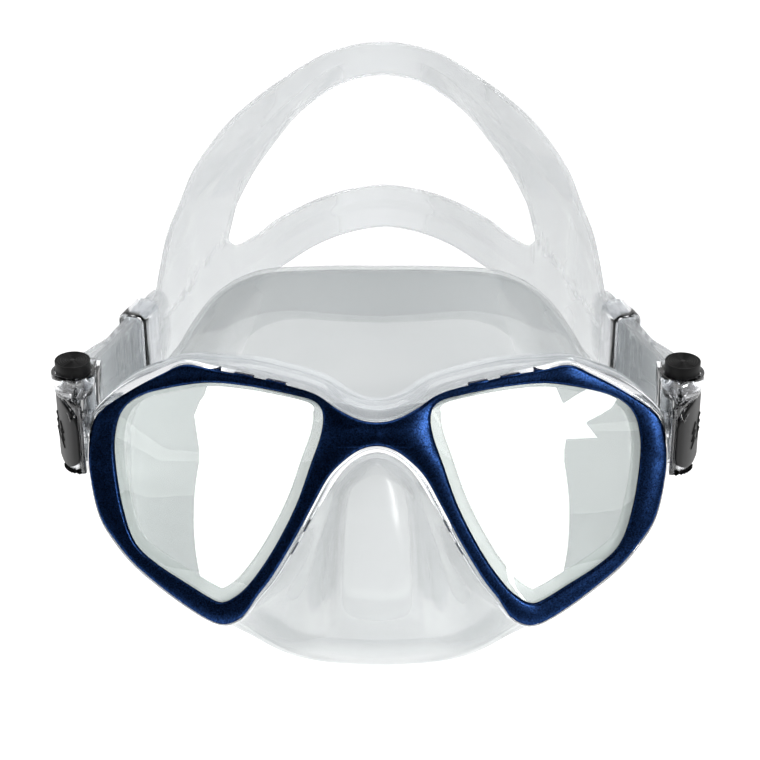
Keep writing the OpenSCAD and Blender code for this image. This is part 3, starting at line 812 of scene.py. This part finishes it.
half = []
for column, end, width in zip(columns, FACE, FLANGE):
    end = np.array(end, float)
    half.append(list(column) + [end, end + 0.35 * width * inward(end) + [0, 0.6, 0],
                                end + width * inward(end) - [0, 0.6, 0]])
half = np.array(half)
around = np.concatenate([half, (half[1:-1] * [-1, 1, 1])[::-1]])
rows = np.array([closed_curve(around[:, r], 8) for r in range(around.shape[1])])
sheet = np.array([open_curve(rows[:, i], 4) for i in range(rows.shape[1])])
across = np.roll(sheet, -1, 0) - np.roll(sheet, 1, 0)
along = np.gradient(sheet, axis=1)
normal = np.cross(along, across)
normal /= np.linalg.norm(normal, axis=2, keepdims=True)
thick = np.full(sheet.shape[1], SKIRT_T)
thick[-LIP_ROWS:] = np.linspace(SKIRT_T, LIP_T, LIP_ROWS)
inner = sheet - thick[:, None] * normal
skirt_wall = torus_loft("skirt_wall", np.concatenate([sheet, inner[:, ::-1]], 1))
smooth(skirt_wall, 60)
print("skirt wall", len(skirt_wall.data.polygons), "faces")

# %% [markdown]
# Behind each lens the skirt ends in a thick soft seat that the glass presses on. It shows
# as the pale ring inside the bezel, narrow above and wide beside the nose.


# %% Lens seats
def seat_piece(name, side):
    """One seat. Each row of its section: an offset, a share of the lip, and a depth."""
    line = closed_curve(LENS_EDGE, 8)
    normal = outward(line)
    up = np.clip(normal[:, 1], 0, 1) ** 2
    down = np.clip(-normal[:, 1], 0, 1) ** 2
    nasal = np.clip(-normal[:, 0], 0, 1) ** 2
    lip = (2.4 - 0.7 * up + 1.4 * down + 1.1 * nasal)[:, None]
    section = np.array([(1.2, 0, 6.15), (0.4, -0.5, 6.1), (0.5, -1, 6.12), (0.12, -1, 6.3),
                        (0, -1, 6.7), (0.1, -1, 7.3), (0.5, -1, 8.0), (0, -0.35, 9.0),
                        (0.6, 0, 10.2), (1.2, 0, 10.2), (1.2, 0, 8)])
    out = section[:, 0] + section[:, 1] * lip
    flat = line[:, None] + out[..., None] * normal[:, None]
    depth = np.broadcast_to(section[:, 2], out.shape)
    piece = torus_loft(name, on_front(flat, depth) * [side, 1, 1])
    smooth(piece, 40)
    return piece


fit(skirt_wall, "mask", "clear_silicone", skirt_silicone, "skirt")
fit(seat_piece("lens_seat_right", 1), "mask", "clear_silicone", seat_silicone)
fit(seat_piece("lens_seat_left", -1), "mask", "clear_silicone", seat_silicone)

# %% [markdown]
# ## The strap
# The strap is one silicone moulding: a flat toothed run at each side that turns round the
# buckle's roller, and a headband that splits in two over the back of the head. It is drawn
# in the harness's own directions: out to the side, back along the run, and up across it.

# %% Harness directions
HARNESS_TILT = math.radians(22)
SWIVEL = np.array([0, -41.0, 16.5])


def on_harness(points):
    """Points (out, back, up) of the harness, in the mask's place."""
    x, b, w = np.moveaxis(np.asarray(points, float), -1, 0)
    c, s = math.cos(HARNESS_TILT), math.sin(HARNESS_TILT)
    return np.stack([x, SWIVEL[1] + b * c - w * s, SWIVEL[2] + b * s + w * c], -1)


STRAP_T = 1.8
HALF_W = 12.0
RUN_START = np.array([77.4, 28.0])
RUN_ANGLE = math.radians(18)
RUN_WAY = np.array([-math.sin(RUN_ANGLE), math.cos(RUN_ANGLE)])
RUN_OUT = np.array([math.cos(RUN_ANGLE), math.sin(RUN_ANGLE)])


def run_at(along, out):
    """A point (out, back) of the strap's straight run."""
    return list(RUN_START + along * RUN_WAY + out * RUN_OUT)


print("harness tilted by", round(math.degrees(HARNESS_TILT)), "degrees")

# %% Headband edges
# The crown band and the nape band share their middle edge up to the fork.
CROWN_TOP = [[69.4, 52.7, 12], [67.9, 57.3, 12], [66.3, 61.6, 19.5], [64.2, 67.2, 28],
             [60.7, 75.2, 35], [57.6, 84.1, 40.8], [53.2, 94.3, 45], [46.7, 107.7, 49],
             [39.4, 119.9, 51.5], [32.9, 128.5, 53.6], [25.5, 135.5, 56.3],
             [18.8, 139.8, 58.8], [12, 142.5, 60], [6, 143.9, 60.7], [0, 144.2, 60.9]]
SHARED = [[69.4, 52.7, 0], [67.9, 57.3, 0.4], [66.3, 61.6, 1.6], [64.2, 67.2, 3],
          [60.7, 75.2, 5], [57.6, 84.1, 7], [53.2, 94.8, 8.6], [50.2, 102.4, 9.6]]
CROWN_LOW = [SHARED[-1], [49.4, 104.4, 12.6], [48.2, 107.6, 17.8], [43.1, 116.4, 25.7],
             [37.8, 124.6, 31.2], [27.5, 136.7, 40.2], [14, 144.8, 46.8], [0, 147.8, 48.8]]
NAPE_TOP = [SHARED[-1], [49.2, 104.8, 7], [47.8, 108.6, 4.4], [45, 115.1, 2.4],
            [40.4, 125.1, 1.2], [34.6, 135.1, 1.8], [23.5, 149.1, 2], [12, 158.9, 1.7],
            [0, 163, 1.6]]
NAPE_LOW = [[69.4, 52.7, -12], [67.9, 57.3, -12], [66.3, 61.6, -12.3], [64.2, 67.2, -12.6],
            [60.7, 75.2, -13], [57.6, 84.1, -13.6], [53.2, 94.8, -14.2], [49.8, 103.6, -14.8],
            [48.8, 106.2, -14.9], [47.4, 109.4, -15], [44.5, 116.5, -15.4],
            [40.2, 126, -15.6], [35.1, 134.3, -15.6], [24, 149.8, -14.9],
            [12, 160.4, -14.7], [0, 164.6, -14.7]]
BAND_STEPS = 8


def to_middle(points, before):
    """An edge of a band that ends on the middle of the head."""
    return open_curve(points, BAND_STEPS, before, flip(points[-2]))


shared = open_curve(SHARED, BAND_STEPS, [71.8, 45.1, 0], [48, 107, 10])[:-1]
crown_low = np.concatenate([shared, to_middle(CROWN_LOW, [50.6, 101.4, 6])])
nape_top = np.concatenate([shared, to_middle(NAPE_TOP, [50.6, 101.4, 13])])
crown_top = to_middle(CROWN_TOP, [71.8, 45.1, 12])
nape_low = to_middle(NAPE_LOW, [71.8, 45.1, -12])
print("crown rows", len(crown_top), len(crown_low), "nape rows", len(nape_top), len(nape_low))

# %% Run round the roller
ROLLER = np.array([84.8, 8.0])
TURN_R = 1.9 + 0.5 * STRAP_T
TAIL_OUT = STRAP_T + 0.3
main_x, tail_x = ROLLER[0] - TURN_R, ROLLER[0] + TURN_R
half_turn = [ROLLER + TURN_R * np.array([math.cos(a), math.sin(a)])
             for a in np.linspace(0, -math.pi, 17)]
main_line = open_curve([[main_x, 9.5], [main_x, 13], [80.6, 20], RUN_START, run_at(6, 0)], 6)
tail_line = open_curve([run_at(6, TAIL_OUT), run_at(0, TAIL_OUT), [82.8, 23.4], [85.8, 18],
                        [tail_x, 12], [tail_x, 9.5]], 6)
tail_tip = [run_at(a, TAIL_OUT) for a in (39, 38.4, 37, 35, 31, 26, 21, 16, 11)]
TIP_WIDTH = [5, 7.5, 9.8, 11.4]
run_line = np.concatenate([tail_tip, tail_line, half_turn, main_line,
                           [run_at(a, 0) for a in (10, 14, 18, 22)]])
run_width = np.full(len(run_line), HALF_W)
run_width[:len(TIP_WIDTH)] = TIP_WIDTH


def run_edge(share):
    """The run's line, moved across the strap by a share of its half width."""
    return np.concatenate([run_line, (share * run_width)[:, None]], 1)


print("run line", len(run_line), "points")

# %% [markdown]
# Each band is a grid, and the run in front of it belongs half to the crown band and half
# to the nape band. The band is thicker along its outer edge, where a moulded rib runs, so
# Solidify takes its thickness from a vertex group.

# %% Strap sheet
RIB_COLUMNS = 5
THIN_SHARE = 0.72
ACROSS = np.array([0, 0.04, 0.12, 0.22, 0.32, 0.36, 0.4, 0.5, 0.62, 0.74, 0.86, 0.95, 1.0])


def half_sheet(name, upper, lower, start_upper, start_lower, shares):
    """One band with the run in front of it, as a grid of rows across the strap."""
    upper = np.concatenate([run_edge(start_upper), upper])
    lower = np.concatenate([run_edge(start_lower), lower])
    rows = upper[:, None] + shares[None, :, None] * (lower - upper)[:, None]
    return grid_loft(name, on_harness(rows))


crown = half_sheet("crown_band", crown_top, crown_low, 1, 0, ACROSS)
nape = half_sheet("nape_band", nape_top, nape_low, 0, -1, 1 - ACROSS[::-1])
strap = join("headband_strap", crown, nape)
group = strap.vertex_groups.new(name="thick")
for index in range(len(strap.data.vertices)):
    raised = index % len(ACROSS) < RIB_COLUMNS
    group.add([index], 1.0 if raised else THIN_SHARE, "REPLACE")
apply(strap, "MIRROR", merge_threshold=1e-6)
only(strap)
bpy.ops.object.mode_set(mode="EDIT")
bpy.ops.mesh.select_all(action="SELECT")
bpy.ops.mesh.remove_doubles(threshold=2e-6)
bpy.ops.mesh.normals_make_consistent(inside=False)
bpy.ops.object.mode_set(mode="OBJECT")
apply(strap, "SOLIDIFY", thickness=STRAP_T * MM, offset=0, use_even_offset=False,
      vertex_group="thick", thickness_vertex_group=0.0)
soften(strap, 0.45, segments=3)
print("strap sheet", len(strap.data.polygons), "faces")

# %% [markdown]
# The strap grips with cross ribs: they are on the inner face of the run that comes from
# the head, and on the outer face of its tail.

# %% Teeth
TOOTH_PITCH = 5.0
TOOTH_HALF, TOOTH_TALL, TOOTH_TOP = 1.25, 0.75, 0.6


def tooth(along, out, side):
    """One moulded rib across the strap, on its inner or outer face."""
    nothing_selected()
    bpy.ops.mesh.primitive_cube_add(size=2)
    piece = bpy.context.object
    corners = []
    for v in piece.data.vertices:
        a, o, w = v.co
        top = o > 0
        at = run_at(along + TOOTH_HALF * a * (TOOTH_TOP if top else 1.0),
                    out + (side * TOOTH_TALL if top else 0))
        corners.append(on_harness([*at, w * (HALF_W - 1.0)]))
    set_points(piece, corners)
    face_out(piece)
    apply(piece, "BEVEL", width=0.3 * MM, segments=2)
    return piece


INNER_FACE = -0.5 * STRAP_T + 0.15
OUTER_FACE = TAIL_OUT + 0.5 * STRAP_T - 0.15
teeth = [tooth(i * TOOTH_PITCH, INNER_FACE, -1) for i in range(0, 6)]
teeth += [tooth(i * TOOTH_PITCH, OUTER_FACE, 1) for i in range(0, 7)]
right_teeth = join("teeth_right", *teeth)
left_teeth = mirrored(right_teeth, "teeth_left")
strap = join("headband_strap", strap, right_teeth, left_teeth)
smooth(strap, 40)
fit(strap, "harness", "clear_silicone", strap_silicone, "strap")

# %% [markdown]
# ## The keepers
# Each keeper is a clear moulded sleeve with round corners that holds the strap's tail. It
# is a torus again: once round the strap, with a flat section whose rims are rounded.


# %% Keepers
def round_box(low, high, radius, corner_steps=7):
    """A rectangle with round corners, as points and the directions out of it."""
    points, ways = [], []
    for cx, cy, start in ((high[0] - radius, high[1] - radius, 0),
                          (low[0] + radius, high[1] - radius, 90),
                          (low[0] + radius, low[1] + radius, 180),
                          (high[0] - radius, low[1] + radius, 270)):
        for a in np.radians(start + np.linspace(0, 90, corner_steps)):
            ways.append([math.cos(a), math.sin(a)])
            points.append([cx + radius * ways[-1][0], cy + radius * ways[-1][1]])
    return np.array(points), np.array(ways)


KEEPER_AT, KEEPER_LONG = 14.0, 11.0
line, ways = round_box((-3.3, -13.7), (5.4, 13.7), 3.0)
# Each point: its share of the keeper's length, and how far it lies inside the outline.
SLEEVE = [(0, 0.4), (0.03, 0.1), (0.1, 0), (0.5, 0), (0.9, 0), (0.97, 0.1), (1, 0.4), (1, 1.1),
          (0.97, 1.35), (0.9, 1.4), (0.1, 1.4), (0.03, 1.35), (0, 1.1)]
keeper_rings = [[[*run_at(KEEPER_AT + KEEPER_LONG * t, p[0] - d * n[0]), p[1] - d * n[1]]
                 for t, d in SLEEVE] for p, n in zip(line, ways)]
keeper = torus_loft("keeper_sleeve_right", on_harness(keeper_rings))
smooth(keeper, 40)
fit(mirrored(keeper, "keeper_sleeve_left"), "keeper_left", "clear_plastic", clear,
    "strap_keeper_left")
fit(keeper, "keeper_right", "clear_plastic", clear, "strap_keeper_right")

# %% [markdown]
# ## The buckles
# A buckle is a clear shell round the roller. Its outer cheek is bowed, and its lower edge
# rises towards the front. The walls are grids that get their thickness from Solidify, and
# the round collar that guides the push button is a torus.

# %% Buckle lines
CHEEK = open_curve([[81.9, -13.9], [84.6, -11.7], [87.2, -7.4], [89.3, -1.6], [90.9, 5],
                    [91.4, 15]], 6)
LOWER_EDGE = np.array([(-14, -8.2), (-9, -10.6), (-3, -12.9), (3, -14.4), (15, -14.4)])


def cheek_at(back, out):
    """A point on the bowed cheek, moved outwards."""
    x = np.interp(back, CHEEK[:, 1], CHEEK[:, 0])
    slope = (np.interp(back + 0.5, CHEEK[:, 1], CHEEK[:, 0])
             - np.interp(back - 0.5, CHEEK[:, 1], CHEEK[:, 0]))
    size = np.sqrt(1 + slope ** 2)
    return np.stack([x + out / size, back - out * slope / size], -1)


def wall_piece(name, rows, thick, rim=0.25):
    """A wall of the buckle from a sheet: rim is the rounding of its edges."""
    piece = grid_loft(name, on_harness(rows))
    face_out(piece)
    apply(piece, "SOLIDIFY", thickness=thick * MM, offset=0)
    soften(piece, rim)
    face_out(piece)
    smooth(piece, 35)
    return piece


def lower_at(back):
    """The height of the buckle's lower edge."""
    return np.interp(back, LOWER_EDGE[:, 0], LOWER_EDGE[:, 1])


def cheek_rows(backs, low, high, out, count):
    """Columns of the cheek, each from its low edge to its high edge."""
    rows = []
    for back in backs:
        w = np.linspace(low(back), high(back), count)
        at = cheek_at(np.array(back), out)
        rows.append(np.stack([0 * w + at[0], 0 * w + at[1], w], 1))
    return rows


print("cheek line", len(CHEEK), "points")

# %% Buckle walls
TOP_EDGE = 13.0
WALL_T = 1.1
THIRDS = (0, 0.33, 0.66, 1)
inner_line = open_curve([[80.3, 14.6], [80.3, 5.5], [80.9, 4], [82.9, 2.2], [83.0, -4],
                         [82.8, -10.5], [82.2, -13.2]], 4)
outer_cheek = wall_piece("cheek", cheek_rows(
    np.linspace(-13.6, 14.6, 30), lower_at, lambda b: TOP_EDGE, -0.6, 14), 1.2)
inner_wall = wall_piece("inner_cheek", [
    [[x, b, lower_at(b) * (1 - t) + (TOP_EDGE - 0.4) * t] for x, b in inner_line]
    for t in THIRDS], WALL_T)
plates = []
for top in (False, True):
    back = np.linspace(-13.2, 14.4, 28)
    w = 0 * back + TOP_EDGE if top else lower_at(back) + 0.55
    inner_x = np.interp(back, inner_line[::-1, 1], inner_line[::-1, 0]) + 0.5
    outer_x = cheek_at(back, -1.1)[:, 0]
    plates.append(wall_piece("plate", [
        np.stack([inner_x + (outer_x - inner_x) * t, back, w], 1)
        for t in THIRDS], WALL_T))
print("shell walls made")

# %% Collar and boss
BUTTON = np.array([84.6, -4.5])


def turned(name, profile, segments=48):
    """A turned ring about the button's axis from (radius, height) points."""
    rings = []
    for a in np.linspace(0, 2 * math.pi, segments, endpoint=False):
        rings.append([[BUTTON[0] + r * math.cos(a), BUTTON[1] + r * math.sin(a), w]
                      for r, w in profile])
    piece = torus_loft(name, on_harness(rings))
    smooth(piece, 35)
    return piece


collar = turned("collar", [(5.05, 15.6), (5.05, 19.6), (5.2, 19.95), (5.9, 20), (6.15, 19.8),
                           (6.2, 19.2), (6.2, 17.8), (6.0, 17.2), (5.7, 16.4), (5.6, 14.2),
                           (5.0, 12.8), (1.1, 12.4), (1.05, 12.9), (1.1, 15.2), (4.9, 15.3)])
BOSS = [(79.7, 2.0), (79.7, 3.9), (79.9, 4.1), (82.2, 4.1), (82.3, 3.9), (82.3, 2.9),
        (80.9, 2.8), (80.8, 2.0)]
boss_rings = [[[x, r * math.cos(a), r * math.sin(a)] for x, r in BOSS]
              for a in np.linspace(0, 2 * math.pi, 40, endpoint=False)]
boss = torus_loft("boss", on_harness(boss_rings))
smooth(boss, 35)
print("collar", len(collar.data.polygons), "faces, boss", len(boss.data.polygons))

# %% [markdown]
# Under the collar a black carrier shows through the shell between two clear struts that
# meet low at the front. On the cheek lies a black cover with round corners, a few raised
# waves in place of a badge, and a row of serrations along its lower edge.

# %% Struts and carrier
def bar(name, start, end, radius, segments=12):
    """A round bar between two points of the harness."""
    start, end = np.array(start, float), np.array(end, float)
    way = (end - start) / np.linalg.norm(end - start)
    side = np.cross(way, [0, 0, 1.0])
    side /= np.linalg.norm(side)
    up = np.cross(side, way)
    turn = np.linspace(0, 2 * math.pi, segments, endpoint=False)
    ring = radius * (np.cos(turn)[:, None] * side + np.sin(turn)[:, None] * up)
    shares = np.array([0, 0.02, 0.5, 0.98, 1])
    sizes = np.array([0.8, 1, 1, 1, 0.8])
    piece = tube_loft(name, on_harness([start + t * (end - start) + k * ring
                                        for t, k in zip(shares, sizes)]))
    smooth(piece, 40)
    return piece


FOOT = [84.4, -13.0, 8.6]
struts = [bar("strut_outer", [89.6, -1.5, 13.6], FOOT, 0.85),
          bar("strut_inner", [82.6, -6.0, 15.2], FOOT, 0.75)]
body = join("buckle_body_right", outer_cheek, inner_wall, *plates, collar, boss, *struts)
fit(mirrored(body, "buckle_body_left"), "harness", "clear_plastic", clear, "buckle_left")
fit(body, "harness", "clear_plastic", clear, "buckle_right")
carrier = join("wedge_carrier_right",
               bar("carrier_outer", [88.0, -2.6, 11.6], [84.6, -12.0, 8.6], 0.7),
               bar("carrier_inner", [83.4, -6.6, 12.4], [84.2, -11.8, 9.0], 0.6),
               bar("carrier_top", [83.4, -6.6, 11.6], [88.0, -3.0, 11.4], 0.8))
fit(mirrored(carrier, "wedge_carrier_left"), "harness", "black_plastic", black)
fit(carrier, "harness", "black_plastic", black)

# %% Side cover
COVER_T, COVER_PROUD = 0.8, 0.45
COVER_TOP = np.array([(-13.3, 6.6), (-12.9, 8.8), (-11.9, 10.4), (-10, 11.3), (-2, 11.9),
                      (5, 12.1), (8.3, 11.6), (9.6, 10.2), (10.2, 7.6)])
COVER_LOW = np.array([(-13.3, -3.4), (-12.9, -5.2), (-11.5, -7.0), (-8.5, -8.8), (-3, -10.4),
                      (4, -11.4), (8, -10.8), (9.6, -9.2), (10.2, -6.4)])
cover_backs = np.concatenate([[-13.3, -13.1, -12.9, -12.4, -11.9, -11.2],
                              np.linspace(-10, 8, 26), [8.8, 9.4, 9.9, 10.2]])
cover = wall_piece("cover", cheek_rows(
    cover_backs, lambda b: np.interp(b, COVER_LOW[:, 0], COVER_LOW[:, 1]),
    lambda b: np.interp(b, COVER_TOP[:, 0], COVER_TOP[:, 1]), COVER_PROUD, 16),
    COVER_T, rim=0.3)
print("side cover", len(cover.data.polygons), "faces")

# %% Waves and serrations
WAVE_PITCH, WAVE_TALL, WAVE_R = 2.4, 1.1, 0.22
details = []
for middle in (-WAVE_PITCH, 0, WAVE_PITCH):
    line = [cheek_at(np.array(b), 0.95).tolist() + [middle + WAVE_TALL * math.sin(1.1 * b)]
            for b in np.linspace(-7, 3, 24)]
    rings = [[np.array(p) + [WAVE_R * math.cos(a), 0, WAVE_R * math.sin(a)]
              for a in np.linspace(0, 2 * math.pi, 6, endpoint=False)] for p in line]
    details.append(tube_loft("wave", on_harness(rings)))
for b in np.linspace(-12.6, -2, 7):
    w = lower_at(b)
    corners = ((-0.35, w + 0.1), (0.35, w + 0.1), (0.35, w + 1.3), (-0.35, w + 1.3))
    rings = [[cheek_at(np.array(b + s), out).tolist() + [v] for s, v in corners]
             for out in (0.6, 0.1, -0.5)]
    details.append(tube_loft("serration", on_harness(rings)))
cover = join("side_badge_right", cover, *details)
fit(mirrored(cover, "side_badge_left"), "harness", "black_plastic", black, "side_cover_left")
fit(cover, "harness", "black_plastic", black, "side_cover_right")

# %% [markdown]
# ## Push buttons
# The button's cap is a disc with concentric grip rings. It is a cylinder: its top face is
# inset again and again, and every second ring is pushed down.


# %% Push buttons
CAP_R, CAP_TALL, CAP_MIDDLE = 4.93, 4.2, 21.1
GRIP_RINGS, GROOVE_SLOPE, GROOVE_DEEP, RING_FLAT = 6, 0.14, 0.26, 0.2


def button_piece(name):
    """A cap with grip rings, on its stem."""
    nothing_selected()
    bpy.ops.mesh.primitive_cylinder_add(vertices=72, radius=CAP_R * MM, depth=CAP_TALL * MM)
    piece = new_piece(name)
    select_faces(piece, lambda face: face.normal.z > 0.9)
    bpy.ops.mesh.inset(thickness=0.35 * MM)
    for _ in range(GRIP_RINGS):
        for depth in (-GROOVE_DEEP, GROOVE_DEEP):
            bpy.ops.mesh.inset(thickness=GROOVE_SLOPE * MM, depth=depth * MM)
            bpy.ops.mesh.inset(thickness=RING_FLAT * MM)
    bpy.ops.object.mode_set(mode="OBJECT")
    soften(piece, 0.22, segments=3, angle=60)
    points = np.array([v.co for v in piece.data.vertices]) / MM
    set_points(piece, on_harness(points + [*BUTTON, CAP_MIDDLE]))
    stem = turned(name + "_stem", [(0.02, 2.0), (0.4, 2.0), (0.95, 4.0), (0.95, 19.2),
                                   (0.02, 19.2)], 24)
    piece = join(name, piece, stem)
    smooth(piece, 40)
    return piece


button = button_piece("grip_button_right")
fit(mirrored(button, "grip_button_left"), "button_left", "black_plastic", black,
    "push_button_left")
fit(button, "button_right", "black_plastic", black, "push_button_right")

# %% [markdown]
# ## Pawls, pins, rollers and springs
# The CAD has the true shape of these small parts. The pawls get rounded edges on a merged
# copy, and the turned metal parts only need their finish.


# %% Rounded copies and metal
PAWL_ROUND = 0.12


def rounded(node, width):
    """A copy of a CAD node with its doubles merged and its edges rounded."""
    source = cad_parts[node]
    piece = bpy.data.objects.new(node + "_shape", source.data.copy())
    bpy.context.scene.collection.objects.link(piece)
    only(piece)
    bpy.ops.object.mode_set(mode="EDIT")
    bpy.ops.mesh.select_all(action="SELECT")
    bpy.ops.mesh.remove_doubles(threshold=1e-5)
    bpy.ops.mesh.dissolve_limited(angle_limit=math.radians(1.0))
    bpy.ops.object.mode_set(mode="OBJECT")
    soften(piece, width, angle=30)
    smooth(piece, 35)
    return piece


for side in ("left", "right"):
    fit(rounded("pawl_" + side, PAWL_ROUND), "pawl_" + side, "black_plastic", black,
        "pawl_" + side)
for node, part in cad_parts.items():
    if node.startswith(("roller", "pawl_pin", "swivel_pin", "button_spring")):
        part.data.materials.clear()
        part.data.materials.append(steel)
print("metal parts carry", steel.name)
